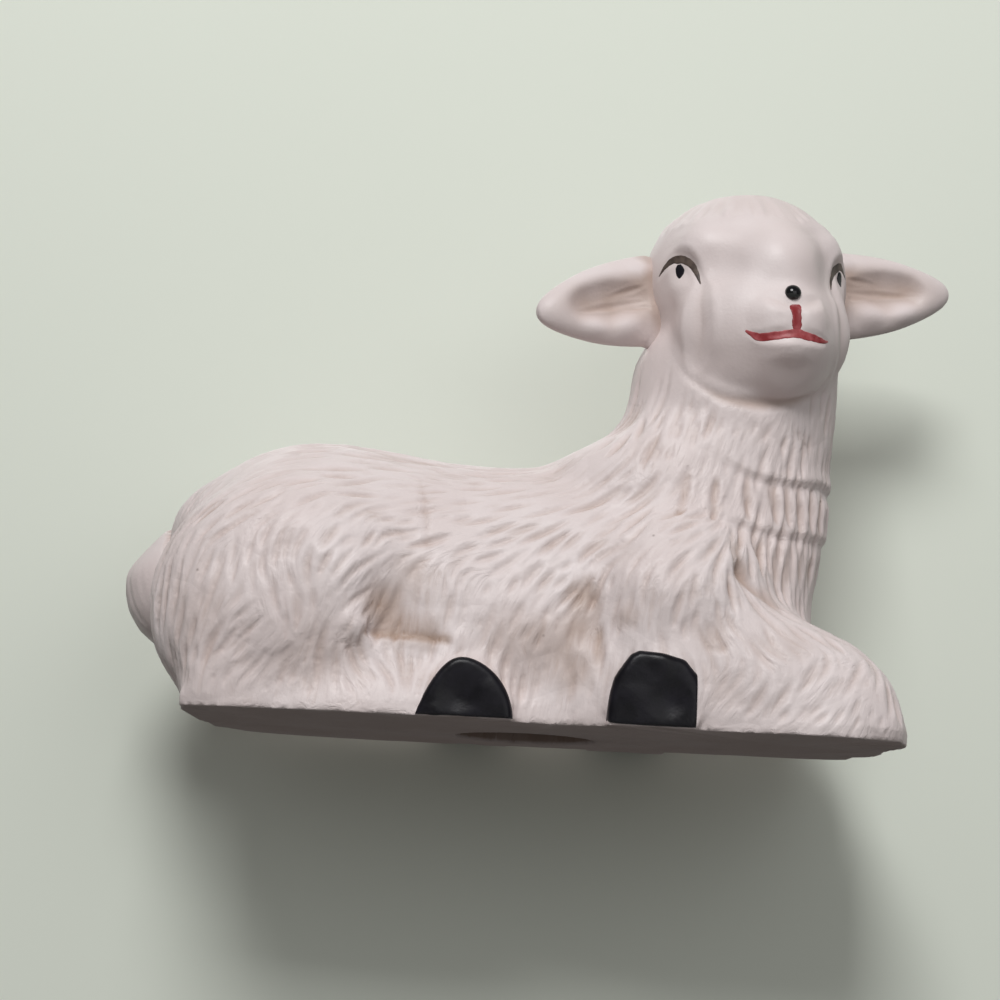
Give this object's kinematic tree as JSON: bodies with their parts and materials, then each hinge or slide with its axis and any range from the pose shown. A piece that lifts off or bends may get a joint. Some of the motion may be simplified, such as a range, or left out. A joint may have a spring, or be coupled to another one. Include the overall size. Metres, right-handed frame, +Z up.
{
  "type": "lamb figurine",
  "caption": "Hollow bisque porcelain lamb lying down, head turned to its right, luted ears and tail, carved fleece, enamelled hooves and face, flat vented foot.",
  "frame": {"origin": "middle of the box's underside, on the plane of the flat foot", "axes": "+X from the tail to the breast, +Y from the right flank to the left flank, +Z up"},
  "size_m": [0.0803, 0.034, 0.0548],
  "materials": {
    "bisque": "matt unglazed white bisque with a thin brown wash in the recesses",
    "black_enamel": "satin black enamel, brushed on",
    "black_gloss_enamel": "glossy black enamel, a raised dot",
    "brown_enamel": "satin taupe brown enamel line",
    "red_enamel": "satin red enamel, brushed on thinly"
  },
  "bodies": {
    "root": {"body_shell": "bisque", "head_shell": "bisque", "ear_right": "bisque", "ear_left": "bisque", "tail": "bisque", "hoof_hind_right": "black_enamel", "hoof_hind_left": "black_enamel", "hoof_front_right": "black_enamel", "hoof_front_left": "black_enamel", "nose_bead": "black_gloss_enamel", "pupil_right": "black_enamel", "pupil_left": "black_enamel", "lash_right": "brown_enamel", "lash_left": "brown_enamel", "mouth_line": "red_enamel", "philtrum_line": "red_enamel"}
  },
  "joints": []
}
